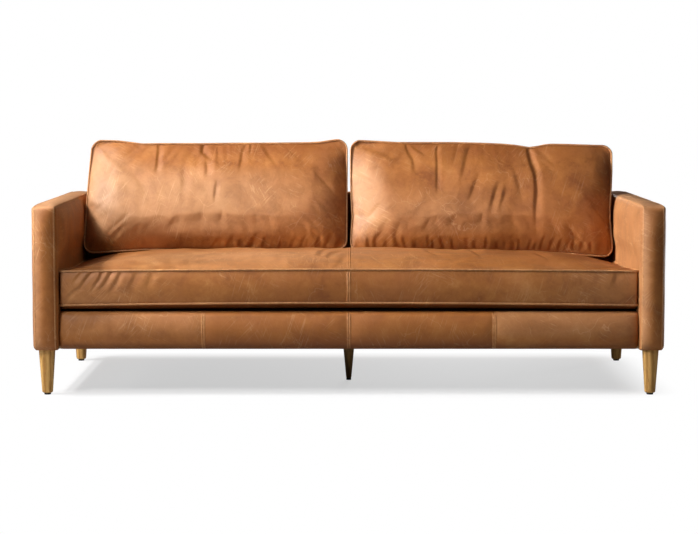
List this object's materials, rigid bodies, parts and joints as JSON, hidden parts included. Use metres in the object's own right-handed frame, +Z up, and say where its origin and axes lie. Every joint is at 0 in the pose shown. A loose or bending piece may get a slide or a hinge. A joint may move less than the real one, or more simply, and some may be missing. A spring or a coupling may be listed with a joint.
{
  "type": "sofa with wooden legs",
  "caption": "Long low leather sofa with thin straight arms, a bench seat cushion, loose back cushions and round tapered wooden legs.",
  "frame": {"origin": "middle of the footprint, on the floor", "axes": "+X to the right as seen from the front, +Y to the back, +Z up"},
  "size_m": [2.06, 0.9, 0.8165],
  "materials": {
    "leather": "full-grain cognac leather, mottled, soft sheen",
    "leather_welt": "cognac leather over cord",
    "oak": "clear satin oak",
    "dark_wood": "dark stained wood",
    "frame_timber": "planed softwood",
    "plywood": "plain plywood",
    "black_plastic": "moulded plastic",
    "zinc_steel": "zinc plated",
    "spring_steel": "oiled spring wire",
    "deck_cloth": "felted deck cloth",
    "dust_cloth": "thin black cloth",
    "padding": "polyester padding",
    "foam": "cut foam in a fibre wrap",
    "zip_tape": "brown tape and coil",
    "zip_metal": "bronzed slider"
  },
  "bodies": {
    "frame": {"back_board": "plywood", "back_centre_post": "frame_timber", "back_inside_panel": "leather", "back_outside_panel": "leather", "back_pad": "padding", "back_top_rail": "frame_timber", "back_top_strip": "leather", "body_piping": "leather_welt", "centre_beam": "frame_timber", "centre_leg": "dark_wood", "corner_blocks": "frame_timber", "dust_cover": "dust_cloth", "frame_dowels": "frame_timber", "front_apron": "leather", "front_apron_pad": "padding", "front_left_leg": "oak", "front_rail": "frame_timber", "front_right_leg": "oak", "left_arm_boxing": "leather", "left_arm_inside_panel": "leather", "left_arm_outside_panel": "leather", "left_arm_pad": "padding", "left_arm_rail": "frame_timber", "left_end_rail": "frame_timber", "left_front_post": "frame_timber", "left_rear_post": "frame_timber", "leg_bolts": "zinc_steel", "leg_glides": "black_plastic", "leg_inserts": "zinc_steel", "rear_left_leg": "oak", "rear_rail": "frame_timber", "rear_right_leg": "oak", "rear_seat_rail": "frame_timber", "right_arm_boxing": "leather", "right_arm_inside_panel": "leather", "right_arm_outside_panel": "leather", "right_arm_pad": "padding", "right_arm_rail": "frame_timber", "right_end_rail": "frame_timber", "right_front_post": "frame_timber", "right_rear_post": "frame_timber", "seat_deck": "deck_cloth", "seat_springs": "spring_steel", "spring_clips": "spring_steel"},
    "centre_foot": {"centre_leg_foot": "black_plastic"},
    "seat_cushion": {"seat_cushion_core": "foam", "seat_cushion_cover": "leather", "seat_cushion_piping": "leather_welt", "seat_cushion_zip": "zip_tape"},
    "seat_cushion_slider": {"seat_cushion_zip_slider": "zip_metal"},
    "left_back_cushion": {"left_back_cushion_core": "foam", "left_back_cushion_cover": "leather", "left_back_cushion_piping": "leather_welt", "left_back_cushion_zip": "zip_tape"},
    "left_back_cushion_slider": {"left_back_cushion_zip_slider": "zip_metal"},
    "right_back_cushion": {"right_back_cushion_core": "foam", "right_back_cushion_cover": "leather", "right_back_cushion_piping": "leather_welt", "right_back_cushion_zip": "zip_tape"},
    "right_back_cushion_slider": {"right_back_cushion_zip_slider": "zip_metal"}
  },
  "joints": [
    {"name": "seat_cushion_pull_out", "type": "slide", "parent": "frame", "child": "seat_cushion", "axis": [0, -1, 0], "range_m": [0, 0.724]},
    {"name": "left_back_cushion_lift", "type": "slide", "parent": "frame", "child": "left_back_cushion", "axis": [0, 0, 1], "range_m": [0, 0.3]},
    {"name": "right_back_cushion_lift", "type": "slide", "parent": "frame", "child": "right_back_cushion", "axis": [0, 0, 1], "range_m": [0, 0.3]},
    {"name": "centre_foot_screw", "type": "slide", "parent": "frame", "child": "centre_foot", "axis": [0, 0, 1], "range_m": [-0.012, 0]},
    {"name": "seat_cushion_zip_open", "type": "slide", "parent": "seat_cushion", "child": "seat_cushion_slider", "axis": [-1, 0, 0], "range_m": [0, 1.031]},
    {"name": "left_back_cushion_zip_open", "type": "slide", "parent": "left_back_cushion", "child": "left_back_cushion_slider", "axis": [-1, 0, 0], "range_m": [0, 0.571]},
    {"name": "right_back_cushion_zip_open", "type": "slide", "parent": "right_back_cushion", "child": "right_back_cushion_slider", "axis": [-1, 0, 0], "range_m": [0, 0.571]}
  ]
}
